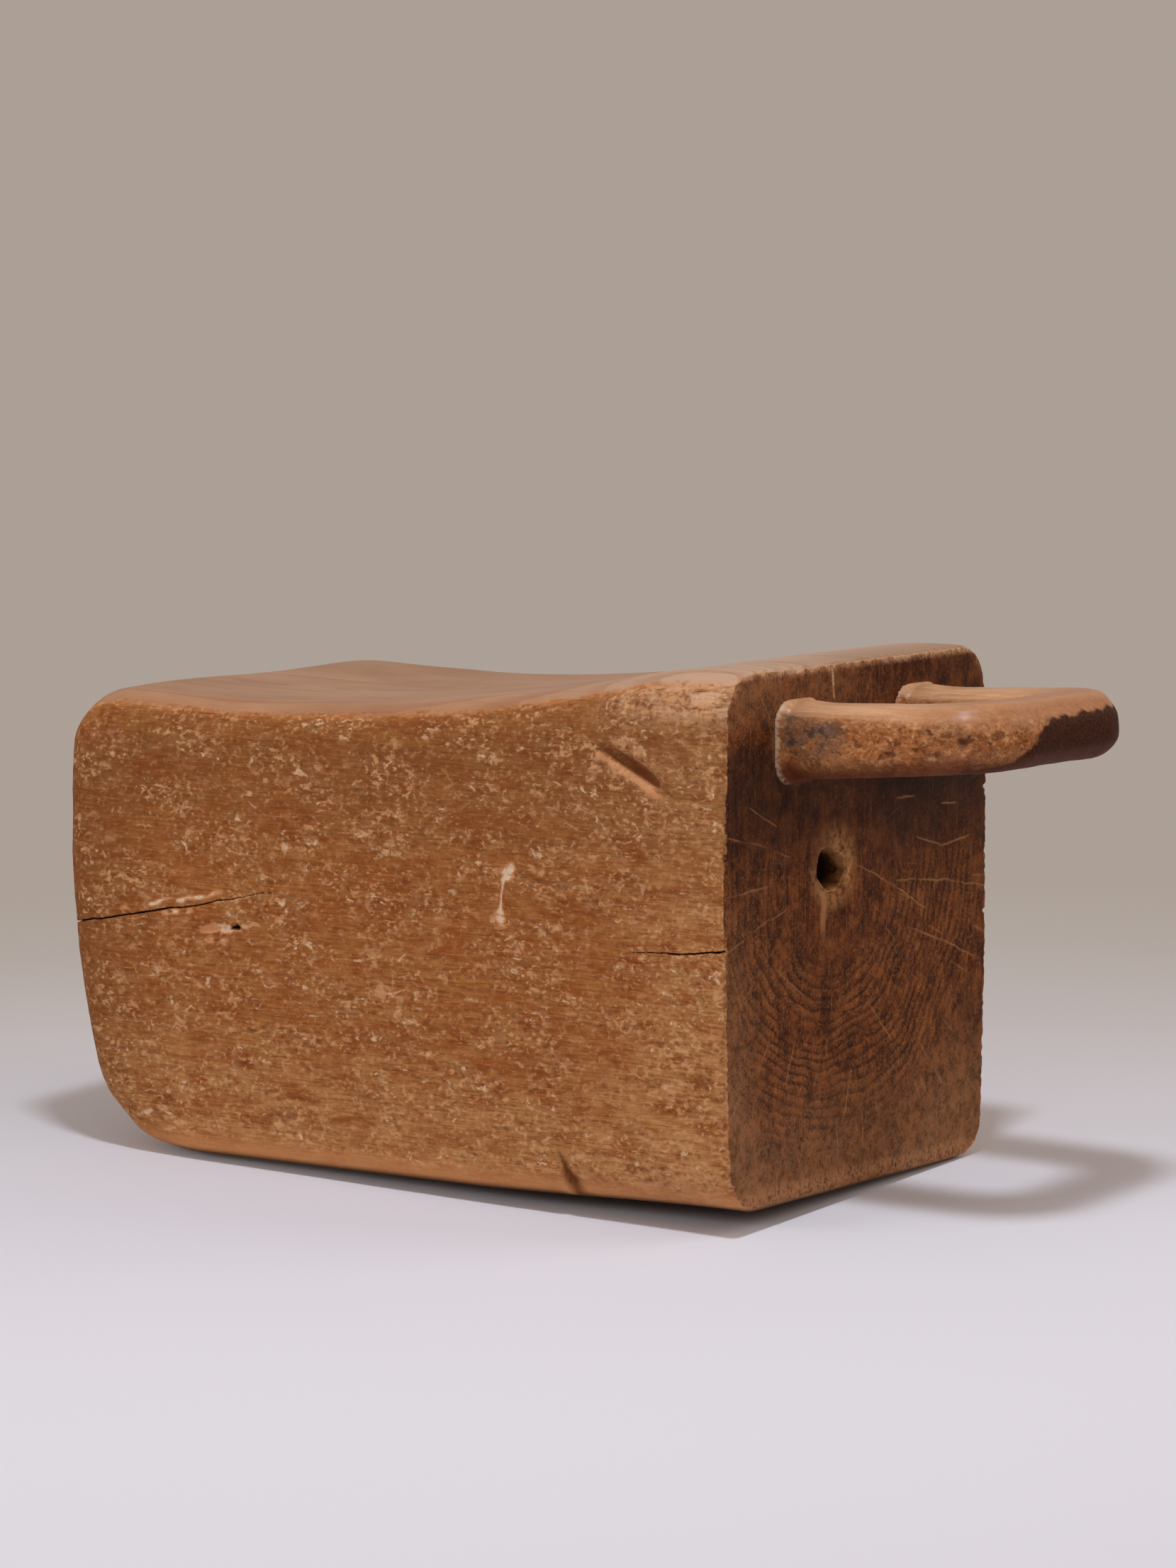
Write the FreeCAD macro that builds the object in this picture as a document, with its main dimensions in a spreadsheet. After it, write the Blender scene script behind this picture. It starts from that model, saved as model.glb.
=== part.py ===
"""A carved wooden block stool with a loop handle let into one end.

Frame: +X runs along the log towards the handle, +Z is up, and the origin is the centre of the flat
underside. All lengths are in millimetres and all angles in degrees.
"""
import FreeCAD, Part
import math
import os
import re

import Sketcher

os.makedirs("parts", exist_ok=True)
doc = FreeCAD.newDocument("block_stool")

# Driving dimensions
SIZES = {
    # The block, cut from one length of log
    "block_length": 426,
    "block_width": 246,
    "front_height": 267,
    "seat_dip_depth": 28,
    "seat_low_from_front": 305,
    "seat_dip_radius": 1250,
    "front_crest_radius": 240,
    "back_crest_radius": 36,
    "back_bow_radius": 700,
    "back_bow_height": 172,
    "back_foot_radius": 55,
    "back_foot_angle": 32,
    "side_bow_radius": 2200,
    "side_bow_height": 150,
    "hewing_allowance": 8,
    "top_edge_round": 24,
    "floor_edge_round": 10,
    "front_rim_round": 3,
    # The hollow that the log's rotted pith leaves in the handle end
    "pith_width": 22,
    "pith_height": 19,
    "pith_depth": 60,
    "pith_taper": 4,
    "pith_across": -26,
    "pith_below_crest": 103,
    # The loop handle
    "handle_span": 147,
    "handle_reach": 125,
    "handle_across": -3.5,
    "handle_below_crest": 37.5,
    "arm_width": 37,
    "arm_height": 37,
    "bow_width": 38,
    "bow_height": 33,
    "bow_rise": 7.5,
    "bow_outer_radius": 42,
    "bow_inner_radius": 20,
    "handle_edge_round": 11,
    "root_flare": 3,
    "root_flare_length": 7,
    "root_flare_sink": 1.5,
    # The mortise and tenon joints that hold the handle
    "tenon_width": 22,
    "tenon_height": 20,
    "tenon_length": 55,
    "tenon_corner_round": 2,
    "tenon_clearance": 0.2,
    "mortise_end_gap": 2,
}

sheet = doc.addObject("Spreadsheet::Sheet", "sizes")
for row, (alias, number) in enumerate(SIZES.items(), start=1):
    sheet.set(f"A{row}", alias)
    sheet.set(f"B{row}", str(number))
    sheet.setAlias(f"B{row}", alias)
doc.recompute()

# Heights that hang from the crest of the handle end
SEAT_LOW = "( front_height - seat_dip_depth )"
PITH_ABOVE = "( front_height - pith_below_crest )"
HANDLE_ABOVE = "( front_height - handle_below_crest )"
# A share of the nearest radius or wall that a rounding may take
ROUND_SHARE = 0.9
HALF_WALL_SHARE = 0.45
# Points nearer than this are one point
TOUCH = 1e-3


def bound(formula):
    """The formula with each size's name pointed at the sheet."""
    return re.sub("[a-z_]+", lambda word: f"sizes.{word[0]}" if word[0] in SIZES else word[0], formula)


def value(formula):
    """The formula's number, as the sheet's cells stand."""
    return float(sheet.evalExpression(bound(formula)))


def origin_plane(body, role):
    return next(item for item in body.Origin.OriginFeatures if item.Role == role)


def sketch_on(body, name, role, offset="0"):
    """A sketch on one of the body's own planes, shifted along that plane's normal."""
    sketch = body.newObject("Sketcher::SketchObject", name)
    sketch.AttachmentSupport = (origin_plane(body, role), "")
    sketch.MapMode = "FlatFace"
    sketch.setExpression("AttachmentOffset.Base.z", bound(offset))
    return sketch


def constrain(sketch, formula, *arguments):
    """A dimension of the sketch, tied to the sheet."""
    index = sketch.addConstraint(Sketcher.Constraint(*arguments, value(formula)))
    sketch.setExpression(f"Constraints[{index}]", bound(formula))


def place(sketch, geometry, point, across, along):
    """Ties one point of the sketch to its two distances from the origin."""
    constrain(sketch, across, "DistanceX", -1, 1, geometry, point)
    constrain(sketch, along, "DistanceY", -1, 1, geometry, point)


def polygon(sketch, corners):
    """A closed outline of straight lines through corners given as pairs of formulas."""
    points = [FreeCAD.Vector(value(x), value(y), 0) for x, y in corners]
    count = len(points)
    lines = [sketch.addGeometry(Part.LineSegment(points[i], points[(i + 1) % count])) for i in range(count)]
    for i, line in enumerate(lines):
        sketch.addConstraint(Sketcher.Constraint("Coincident", line, 2, lines[(i + 1) % count], 1))
        place(sketch, line, 1, *corners[i])


def rounded_outline(sketch, corners):
    """A closed outline of level and upright lines; each corner is two formulas and a radius or None."""
    count = len(corners)
    spots = [FreeCAD.Vector(value(x), value(y), 0) for x, y, _ in corners]
    radii = [value(radius) if radius else 0.0 for _, _, radius in corners]

    def ends(i):
        """Where the corner's rounding leaves the line before it and meets the line after it."""
        before = (spots[i - 1] - spots[i]).normalize()
        after = (spots[(i + 1) % count] - spots[i]).normalize()
        return spots[i] + before * radii[i], spots[i] + after * radii[i]

    lines = []
    for i in range(count):
        start, end = ends(i)[1], ends((i + 1) % count)[0]
        lines.append(sketch.addGeometry(Part.LineSegment(start, end)))
    for i, line in enumerate(lines):
        after = (i + 1) % count
        level = abs(spots[i].y - spots[after].y) < abs(spots[i].x - spots[after].x)
        sketch.addConstraint(Sketcher.Constraint("Horizontal" if level else "Vertical", line))
        if level:
            constrain(sketch, corners[i][1], "DistanceY", -1, 1, line, 1)
        else:
            constrain(sketch, corners[i][0], "DistanceX", -1, 1, line, 1)
    for i in range(count):
        before, after = lines[i - 1], lines[i]
        if not radii[i]:
            sketch.addConstraint(Sketcher.Constraint("Coincident", before, 2, after, 1))
            continue
        start, end = ends(i)
        centre = start + end - spots[i]
        middle = centre + (spots[i] - centre).normalize() * radii[i]
        arc = sketch.addGeometry(Part.Arc(start, middle, end))
        turn = (start - centre).cross(end - centre).z
        first, last = (1, 2) if turn > 0 else (2, 1)
        sketch.addConstraint(Sketcher.Constraint("Tangent", before, 2, arc, first))
        sketch.addConstraint(Sketcher.Constraint("Tangent", arc, last, after, 1))
        constrain(sketch, corners[i][2], "Radius", arc)


def rectangle(across, along, width, height, radius=None):
    """The corners of an upright rectangle about a centre, all in formulas."""
    half_width, half_height = f"( {width} ) / 2", f"( {height} ) / 2"
    signs = [("-", "-"), ("+", "-"), ("+", "+"), ("-", "+")]
    return [(f"{across} {sx} {half_width}", f"{along} {sz} {half_height}", radius) for sx, sz in signs]


def pad(body, sketch, length, midplane=False):
    feature = body.newObject("PartDesign::Pad", f"{sketch.Name}_pad")
    feature.Profile = sketch
    feature.setExpression("Length", bound(length))
    feature.Midplane = midplane
    doc.recompute()
    return feature


def pocket(body, sketch, depth=None, taper=None):
    """A blind pocket of that depth, or with no depth a cut through the whole body both ways."""
    before = body.Shape.Volume
    feature = body.newObject("PartDesign::Pocket", f"{sketch.Name}_cut")
    feature.Profile = sketch
    if depth:
        feature.setExpression("Length", bound(depth))
    else:
        feature.Type = "ThroughAll"
        feature.Midplane = True
    if taper:
        feature.setExpression("TaperAngle", bound(taper))
    doc.recompute()
    if body.Shape.Volume >= before:
        raise RuntimeError(f"{feature.Name} removes nothing")
    return feature


def fillet(body, name, base, wanted, radius):
    """Rounds the edges of the base feature for which wanted(edge) is true."""
    edges = [f"Edge{i}" for i, edge in enumerate(base.Shape.Edges, start=1) if wanted(edge)]
    feature = body.newObject("PartDesign::Fillet", name)
    feature.Base = (base, edges)
    feature.setExpression("Radius", bound(radius))
    doc.recompute()
    return feature


def middle_of(edge):
    return edge.valueAt((edge.FirstParameter + edge.LastParameter) / 2)


# The foot's arc meets the floor at its own angle
FOOT_CENTRE_HEIGHT = "back_foot_radius * cos(back_foot_angle * 1 deg)"


# The block's side view: flat underside, upright handle end, saddle seat and bowed back end
def block_profile(sketch):
    """Closes the side view with arcs that run smoothly into each other."""
    front = value("block_length / 2")
    dip_radius, crest_radius = value("seat_dip_radius"), value("front_crest_radius")
    back_radius, bow_radius = value("back_crest_radius"), value("back_bow_radius")
    foot_radius = value("back_foot_radius")
    dip = FreeCAD.Vector(front - value("seat_low_from_front"), value(SEAT_LOW) + dip_radius, 0)
    bow = FreeCAD.Vector(bow_radius - front, value("back_bow_height"), 0)

    def centre_at_height(known, distance, height, sign):
        """The centre at that height that stands the given distance from a known centre."""
        across = math.sqrt(distance ** 2 - (height - known.y) ** 2)
        return FreeCAD.Vector(known.x + sign * across, height, 0)

    def between(start, end, share):
        return start + (end - start).normalize() * share

    crest = centre_at_height(dip, dip_radius + crest_radius, value("front_height") - crest_radius, 1)
    foot = centre_at_height(bow, bow_radius - foot_radius, value(FOOT_CENTRE_HEIGHT), -1)
    # The back crest's centre lies on two circles, about the dip's centre and about the bow's centre
    reach_dip, reach_bow = dip_radius + back_radius, bow_radius - back_radius
    span = dip - bow
    along = (reach_bow ** 2 - reach_dip ** 2 + span.Length ** 2) / (2 * span.Length)
    aside = math.sqrt(reach_bow ** 2 - along ** 2)
    step = FreeCAD.Vector(span).normalize()
    back = bow + step * along + FreeCAD.Vector(-step.y, step.x, 0) * aside

    crest_end = FreeCAD.Vector(front, crest.y + math.sqrt(crest_radius ** 2 - (front - crest.x) ** 2), 0)
    crest_dip = between(dip, crest, dip_radius)
    dip_back = between(dip, back, dip_radius)
    back_bow = between(bow, back, bow_radius)
    bow_foot = between(bow, foot, bow_radius)
    foot_end = FreeCAD.Vector(foot.x - math.sqrt(foot_radius ** 2 - foot.y ** 2), 0, 0)
    corner = FreeCAD.Vector(front, 0, 0)

    def arc(centre, radius, start, end):
        """The arc about a centre, drawn anticlockwise from start to end."""
        angles = [math.atan2(point.y - centre.y, point.x - centre.x) for point in (start, end)]
        circle = Part.Circle(centre, FreeCAD.Vector(0, 0, 1), radius)
        return sketch.addGeometry(Part.ArcOfCircle(circle, *angles))

    under = sketch.addGeometry(Part.LineSegment(foot_end, corner))
    upright = sketch.addGeometry(Part.LineSegment(corner, crest_end))
    crest_arc = arc(crest, crest_radius, crest_end, crest_dip)
    dip_arc = arc(dip, dip_radius, dip_back, crest_dip)
    back_arc = arc(back, back_radius, dip_back, back_bow)
    bow_arc = arc(bow, bow_radius, back_bow, bow_foot)
    foot_arc = arc(foot, foot_radius, bow_foot, foot_end)
    for joined in (("Coincident", under, 2, upright, 1), ("Coincident", upright, 2, crest_arc, 1),
                   ("Tangent", crest_arc, 2, dip_arc, 2), ("Tangent", dip_arc, 1, back_arc, 1),
                   ("Tangent", back_arc, 2, bow_arc, 1), ("Tangent", bow_arc, 2, foot_arc, 1),
                   ("Coincident", foot_arc, 2, under, 1), ("PointOnObject", under, 2, -1),
                   ("Horizontal", under), ("Vertical", upright)):
        sketch.addConstraint(Sketcher.Constraint(*joined))
    constrain(sketch, "block_length / 2", "DistanceX", -1, 1, under, 2)
    for index, name in ((crest_arc, "front_crest"), (dip_arc, "seat_dip"), (back_arc, "back_crest"),
                        (bow_arc, "back_bow"), (foot_arc, "back_foot")):
        constrain(sketch, f"{name}_radius", "Radius", index)
    constrain(sketch, "front_height - front_crest_radius", "DistanceY", -1, 1, crest_arc, 3)
    constrain(sketch, FOOT_CENTRE_HEIGHT, "DistanceY", -1, 1, foot_arc, 3)
    place(sketch, dip_arc, 3, "block_length / 2 - seat_low_from_front", f"{SEAT_LOW} + seat_dip_radius")
    place(sketch, bow_arc, 3, "back_bow_radius - block_length / 2", "back_bow_height")


def barrel_trim(sketch):
    """What is hewn away outside the two bowed sides, as seen along the log."""
    high = "2 * front_height"
    low = "0 - front_height"
    out = "block_width"
    polygon(sketch, [(f"0 - {out}", low), (out, low), (out, high), (f"0 - {out}", high)])
    radius = value("side_bow_radius")
    middle = value("side_bow_height")
    ends = [value(low), value(high)]
    sides = []
    for sign in (1, -1):
        centre = FreeCAD.Vector(sign * (value("block_width / 2") - radius), middle, 0)
        lean = [math.asin((end - middle) / radius) for end in ends]
        angles = lean if sign > 0 else [math.pi - lean[1], math.pi - lean[0]]
        circle = Part.Circle(centre, FreeCAD.Vector(0, 0, 1), radius)
        side = sketch.addGeometry(Part.ArcOfCircle(circle, *angles))
        constrain(sketch, "side_bow_radius", "Radius", side)
        across = "block_width / 2 - side_bow_radius" if sign > 0 else "side_bow_radius - block_width / 2"
        place(sketch, side, 3, across, "side_bow_height")
        for point, end in ((1, low if sign > 0 else high), (2, high if sign > 0 else low)):
            constrain(sketch, end, "DistanceY", -1, 1, side, point)
        sides.append(side)
    far, near = sides
    for start, end in (((far, 2), (near, 1)), ((near, 2), (far, 1))):
        points = [sketch.getPoint(*spot) for spot in (start, end)]
        line = sketch.addGeometry(Part.LineSegment(*points))
        sketch.addConstraint(Sketcher.Constraint("Coincident", *start, line, 1))
        sketch.addConstraint(Sketcher.Constraint("Coincident", line, 2, *end))


ARM_ACROSS = "( handle_span / 2 - arm_width / 2 )"
SIDES = ("-", "+")


def make_block():
    body = doc.addObject("PartDesign::Body", "seat_block")
    body.Label = "seat_block"
    profile = sketch_on(body, "block_side", "XZ_Plane")
    block_profile(profile)
    pad(body, profile, "block_width + 2 * hewing_allowance", midplane=True)

    trim = sketch_on(body, "block_barrel", "YZ_Plane")
    barrel_trim(trim)
    trimmed = pocket(body, trim)

    front = value("block_length / 2")

    def at_front(edge):
        return all(abs(vertex.X - front) < TOUCH for vertex in edge.Vertexes)

    def on_floor(edge):
        return max(abs(vertex.Z) for vertex in edge.Vertexes) < TOUCH and abs(middle_of(edge).z) < TOUCH

    def along_a_side(edge):
        """An edge between a bowed side and the seat, back or foot."""
        radii = [face.Surface.Radius for face in trimmed.Shape.ancestorsOfType(edge, Part.Face)
                 if hasattr(face.Surface, "Radius")]
        on_side = any(abs(radius - value("side_bow_radius")) < TOUCH for radius in radii)
        return on_side and not at_front(edge) and not on_floor(edge)

    long_round = (f"min( top_edge_round ; {ROUND_SHARE} * back_crest_radius ; "
                  f"{ROUND_SHARE} * back_foot_radius )")
    long_edges = fillet(body, "long_edges", trimmed, along_a_side, long_round)
    floor_edges = fillet(body, "floor_edges", long_edges,
                         lambda edge: on_floor(edge) and not at_front(edge), "floor_edge_round")
    fillet(body, "front_rim", floor_edges, at_front, "front_rim_round")

    pith = sketch_on(body, "pith_hollow", "YZ_Plane", "block_length / 2")
    pith_radius = f"{HALF_WALL_SHARE} * min( pith_width ; pith_height )"
    rounded_outline(pith, rectangle(
        "pith_across", PITH_ABOVE, "pith_width", "pith_height", pith_radius))
    pocket(body, pith, "pith_depth", "0 - pith_taper")

    mortises = sketch_on(body, "mortises", "YZ_Plane", "block_length / 2")
    for side in SIDES:
        width, height = (f"tenon_{size} + 2 * tenon_clearance" for size in ("width", "height"))
        across = f"handle_across {side} {ARM_ACROSS}"
        rounded_outline(mortises, rectangle(
            across, HANDLE_ABOVE, width, height, "tenon_corner_round"))
    pocket(body, mortises, "tenon_length + mortise_end_gap")
    return body


def handle_plan(sketch):
    """The loop seen from above: two arms and the bow that joins them."""
    outer, inner = "handle_span / 2", "( handle_span / 2 - arm_width )"
    tip, gap_end = "handle_reach", "handle_reach - bow_width"
    rounded_outline(sketch, [
        ("0", f"0 - {outer}", None), (tip, f"0 - {outer}", "bow_outer_radius"),
        (tip, outer, "bow_outer_radius"), ("0", outer, None),
        ("0", inner, None), (gap_end, inner, "bow_inner_radius"),
        (gap_end, f"0 - {inner}", "bow_inner_radius"), ("0", f"0 - {inner}", None)])


# The stock that the loop is sawn from, and how far the cuts round it reach
LOOP_STOCK = "4 * arm_height"
LOOP_CUT = "6 * arm_height"


def handle_side_trim(sketch):
    """What is cut away above and below the loop, which rises and thins from its root to its bow."""
    kept = []
    for along in ("( 0 - arm_height )", "( handle_reach + arm_height )"):
        for sign in SIDES:
            root = f"( 0 {sign} arm_height / 2 )"
            tip = f"( bow_rise {sign} bow_height / 2 )"
            kept.append((along, f"{root} + ( {tip} - {root} ) * {along} / handle_reach"))
    low_root, high_root, low_tip, high_tip = kept
    polygon(sketch, [low_root, low_tip, high_tip, high_root])
    around = rectangle("handle_reach / 2", "0", f"handle_reach + {LOOP_CUT}", LOOP_CUT)
    polygon(sketch, [(x, z) for x, z, _ in around])


def make_handle():
    body = doc.addObject("PartDesign::Body", "carry_handle")
    body.Label = "carry_handle"
    plan = sketch_on(body, "loop_plan", "XY_Plane")
    handle_plan(plan)
    pad(body, plan, LOOP_STOCK, midplane=True)
    side = sketch_on(body, "loop_side", "XZ_Plane")
    handle_side_trim(side)
    loop = pocket(body, side)

    def along_the_loop(edge):
        """A long edge of the arms or the bow, off the root and off the upright corners."""
        upright = abs(edge.Vertexes[0].Z - edge.Vertexes[-1].Z) > value("bow_height") / 2
        at_root = max(vertex.X for vertex in edge.Vertexes) < TOUCH
        return not upright and not at_root

    sizes = ("arm_width", "arm_height", "bow_width", "bow_height")
    walls = " ; ".join(f"{HALF_WALL_SHARE} * {size}" for size in sizes)
    loop_round = f"min( handle_edge_round ; {walls} ; {ROUND_SHARE} * bow_outer_radius )"
    fillet(body, "loop_edges", loop, along_the_loop, loop_round)

    for number, sign in enumerate(SIDES, start=1):
        across = f"0 {sign} {ARM_ACROSS}"
        sections = []
        for end, grow, offset in (("wide", "root_flare", "0"),
                                  ("slim", "-root_flare_sink", "root_flare_length")):
            sketch = sketch_on(body, f"root_{number}_{end}", "YZ_Plane", offset)
            middle = f"bow_rise * ( {offset} ) / handle_reach"
            width, height = (f"arm_{size} + 2 * ( {grow} )" for size in ("width", "height"))
            corner = f"{ROUND_SHARE} * ( {loop_round} ) + ( {grow} )"
            rounded_outline(sketch, rectangle(across, middle, width, height, corner))
            sections.append(sketch)
        flare = body.newObject("PartDesign::AdditiveLoft", f"root_{number}_flare")
        flare.Profile = sections[0]
        flare.Sections = sections[1:]
        flare.Ruled = True
        doc.recompute()

    tenons = sketch_on(body, "tenons", "YZ_Plane")
    for sign in SIDES:
        rounded_outline(tenons, rectangle(
            f"0 {sign} {ARM_ACROSS}", "0", "tenon_width", "tenon_height", "tenon_corner_round"))
    tenon_pad = pad(body, tenons, "tenon_length")
    tenon_pad.Reversed = True
    body.Tip = tenon_pad
    body.setExpression("Placement.Base.x", bound("block_length / 2"))
    body.setExpression("Placement.Base.y", bound("handle_across"))
    body.setExpression("Placement.Base.z", bound(HANDLE_ABOVE))
    return body


parts = [make_block(), make_handle()]
doc.recompute()

faults = [item.Name for item in doc.Objects if {"Invalid", "Error"} & set(item.State)]
faults += [body.Label for body in parts if body.Shape.isNull() or not body.Shape.isValid()]
faults += [body.Label for body in parts if len(body.Shape.Solids) != 1]
if faults:
    raise RuntimeError(f"not built: {faults}")
for body in parts:
    body.Shape.exportStep(f"parts/{body.Label}.step")
    print(body.Label, "volume", round(body.Shape.Volume))
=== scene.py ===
"""A carved wooden block stool with a loop handle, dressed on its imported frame.

Both pieces are remeshed from the frame's solids, then hewn, cracked and worn in code. Places and sizes are in
millimetres in the row frame unless a name says otherwise; meshes and lamps are in metres.
"""

import math
from types import SimpleNamespace

import bmesh
import bpy
import numpy as np
from mathutils import Matrix, Vector, noise
from mathutils.bvhtree import BVHTree


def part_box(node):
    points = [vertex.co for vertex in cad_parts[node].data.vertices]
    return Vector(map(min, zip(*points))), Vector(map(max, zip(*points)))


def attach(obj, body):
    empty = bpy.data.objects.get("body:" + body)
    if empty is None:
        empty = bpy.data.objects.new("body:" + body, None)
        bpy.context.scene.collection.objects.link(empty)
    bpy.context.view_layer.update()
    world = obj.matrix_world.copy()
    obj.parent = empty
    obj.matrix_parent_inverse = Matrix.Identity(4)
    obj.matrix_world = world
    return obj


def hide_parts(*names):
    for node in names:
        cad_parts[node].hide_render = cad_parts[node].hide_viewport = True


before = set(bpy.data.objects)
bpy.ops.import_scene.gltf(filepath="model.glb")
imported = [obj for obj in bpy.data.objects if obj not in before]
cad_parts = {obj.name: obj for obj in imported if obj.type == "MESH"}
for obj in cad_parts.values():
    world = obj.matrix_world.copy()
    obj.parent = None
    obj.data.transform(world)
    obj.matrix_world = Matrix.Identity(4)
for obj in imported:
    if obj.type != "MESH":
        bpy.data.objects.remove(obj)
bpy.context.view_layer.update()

MM = 0.001
# Corners of the frame's loose triangles that lie closer than this, in metres, are one
MERGE_M = 1e-6
# Keeps a width off zero, so that it can divide
TINY = 1e-6


def box_mm(node):
    """The lowest and highest corner of a frame node, in millimetres."""
    return [np.array(corner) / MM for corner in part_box(node)]


BLOCK_LOW, BLOCK_HIGH = box_mm("seat_block")
HANDLE_LOW, HANDLE_HIGH = box_mm("carry_handle")
FRONT = BLOCK_HIGH[0]
BACK = BLOCK_LOW[0]
HALF_WIDTH = BLOCK_HIGH[1]
CREST = BLOCK_HIGH[2]
TIP = HANDLE_HIGH[0]
HANDLE_MIDDLE = (HANDLE_LOW[1] + HANDLE_HIGH[1]) / 2

# The log's heart, seen as the hollow in the handle end: (across, up)
PITH = (-26.0, 164.0)

# Marks on the long side that faces the camera, as (along, up) from the first point to the last
BACK_CRACK = ((-214, 115), (-160, 124), (-95, 136), (-62, 143))
FRONT_CRACK = ((214, 131.5), (186, 129), (156, 127))
AXE_SCAR = ((136, 229), (162, 215.5), (189, 201.5))
FLOOR_CHIP = ((108.8, 28), (113, 14), (116.5, 0))
PALE_SCRAPE = ((84, 163), (80, 158), (78.5, 150), (77, 139))
GOUGE = (-102.5, 120.5)
GOUGE_PIT = (-91, 121.8)
SPLINTERS = (((-168, 126.5), (-98, 139.5)), ((-140, 125.5), (-118, 129.5)), ((-125, 113), (-96, 114.5)))
# The drying cracks, with the half opening and the depth of each
SIDE_CRACKS = ((BACK_CRACK, 0.58, 7.0), (FRONT_CRACK, 0.5, 6.0))
SPLINTER_RISE = 0.35
SCAR_DEPTH = 4.6
SCAR_RISE = 0.7
# The share of the scar's line that its hollow takes before the thin tail
SCAR_STROKE_SHARE = 0.72
CHIP_DEPTH = 7.0
SCRAPE_DEPTH = 0.5
GOUGE_DEPTH = 1.1
PIT_DEPTH = 6.0

# Marks on the handle end, as (across, up)
CREST_CRACK = ((-27, 272), (-26, 262), (-25, 249))
CREST_NICK = (-56, 267)
END_CHECKS = (((-121, 187), (-92, 181), (-66, 173)), ((-101, 200), (-77, 188.5)), ((-121, 158), (-84, 160)),
              ((-4, 163), (13, 157), (36, 147), (62, 134)), ((45, 126.5), (76, 117), (109, 104.5)),
              ((34, 152), (80, 147), (122, 140)), ((53, 172), (78, 165), (106, 168)), ((34, 193), (51, 193)),
              ((77, 187), (91, 186)), ((-120, 131), (-94, 140), (-68, 147)), ((-76, 118), (-54, 103)),
              ((-31.5, 78.5), (-31, 69)), ((1.6, 38), (2.4, 19)), ((8, 92), (30, 70)), ((-8, 60), (-16, 34)))
HEART_STREAK = ((-34, 151), (-34.5, 136), (-34, 122))
# Nicks in the far edge of the handle end, as (up, depth)
FAR_NICKS = ((192, 2.0), (127, 2.2), (52, 1.2), (158, 1.0))
CREST_CRACK_DEPTH = 3.0
CREST_NICK_DEPTH = 1.6
CHECK_DEPTH = 0.25
PITH_CHAMFER = 2.2

# Drying cracks in the back end, as (across, up): the first carries on from the long side
BACK_CHECKS = (((-126, 114), (-98, 127), (-68, 142), (-38, 157)), ((-14, 172), (8, 187), (34, 201)))
BACK_CHECK_DEPTH = 6.0


# Sculpting on arrays of points in millimetres
def ease(low, high, amount):
    """Rises smoothly from 0 at low to 1 at high."""
    share = np.clip((amount - low) / (high - low), 0, 1)
    return share * share * (3 - 2 * share)


def lumps(points, size, seed=0):
    """Smooth noise between about -1 and 1; size is its wavelength, one number or one for each axis."""
    return np.array([noise.noise(spot) for spot in (points / np.array(size) + 17.3 * seed).tolist()])


def beside(flat, path):
    """For flat points, the share along a broken line and the signed distance to its left."""
    path = np.array(path, float)
    steps = np.diff(path, axis=0)
    lengths = np.hypot(*steps.T)
    starts = np.concatenate([[0], np.cumsum(lengths)])
    best = np.full(len(flat), np.inf)
    share = np.zeros(len(flat))
    side = np.zeros(len(flat))
    for start, step, length, before in zip(path, steps, lengths, starts):
        way = step / length
        offset = flat - start
        along = np.clip(offset @ way, 0, length)
        distance = np.hypot(*(offset - along[:, None] * way).T)
        nearer = distance < best
        left = offset @ np.array([-way[1], way[0]])
        best = np.where(nearer, distance, best)
        share = np.where(nearer, (before + along) / starts[-1], share)
        side = np.where(nearer, np.where(left < 0, -distance, distance), side)
    return share, side


def read_vertices(mesh, field):
    flat = np.empty(len(mesh.vertices) * 3, np.float32)
    mesh.vertices.foreach_get(field, flat)
    return flat.reshape(-1, 3).astype(float)


def points_of(mesh):
    return read_vertices(mesh, "co") / MM


def set_points(mesh, points):
    mesh.vertices.foreach_set("co", (points * MM).astype(np.float32).ravel())
    mesh.update()


def set_mask(mesh, name, values):
    """Stores one number for each vertex, for the material to read."""
    mask = mesh.attributes.new(name, "FLOAT", "POINT")
    mask.data.foreach_set("value", np.clip(values, 0, 1).astype(np.float32))


def smoothed(mesh, values, rounds):
    """The values averaged with their neighbours along the mesh's edges."""
    ends = np.empty(len(mesh.edges) * 2, np.int32)
    mesh.edges.foreach_get("vertices", ends)
    first, second = ends.reshape(-1, 2).T
    count = np.bincount(ends, minlength=len(values))
    for _ in range(rounds):
        sums = [np.bincount(first, column[second], len(column))
                + np.bincount(second, column[first], len(column)) for column in values.T]
        values = (values + np.array(sums).T / count[:, None]) / 2
    return values


def even_copy(node, name, cell):
    """A copy of a frame node, remeshed in even cells that lie on the node's own surface."""
    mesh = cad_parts[node].data.copy()
    shell = bmesh.new()
    shell.from_mesh(mesh)
    bmesh.ops.remove_doubles(shell, verts=shell.verts, dist=MERGE_M)
    surface = BVHTree.FromBMesh(shell)
    shell.to_mesh(mesh)
    shell.free()
    piece = bpy.data.objects.new(name, mesh)
    bpy.context.scene.collection.objects.link(piece)
    remesh = piece.modifiers.new("cells", "REMESH")
    remesh.mode = "VOXEL"
    remesh.voxel_size = cell * MM
    remeshed = bpy.data.meshes.new_from_object(piece.evaluated_get(bpy.context.evaluated_depsgraph_get()))
    piece.modifiers.remove(remesh)
    piece.data = remeshed
    for vertex in remeshed.vertices:
        vertex.co = surface.find_nearest(vertex.co)[0]
    remeshed.materials.clear()
    return piece


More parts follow.
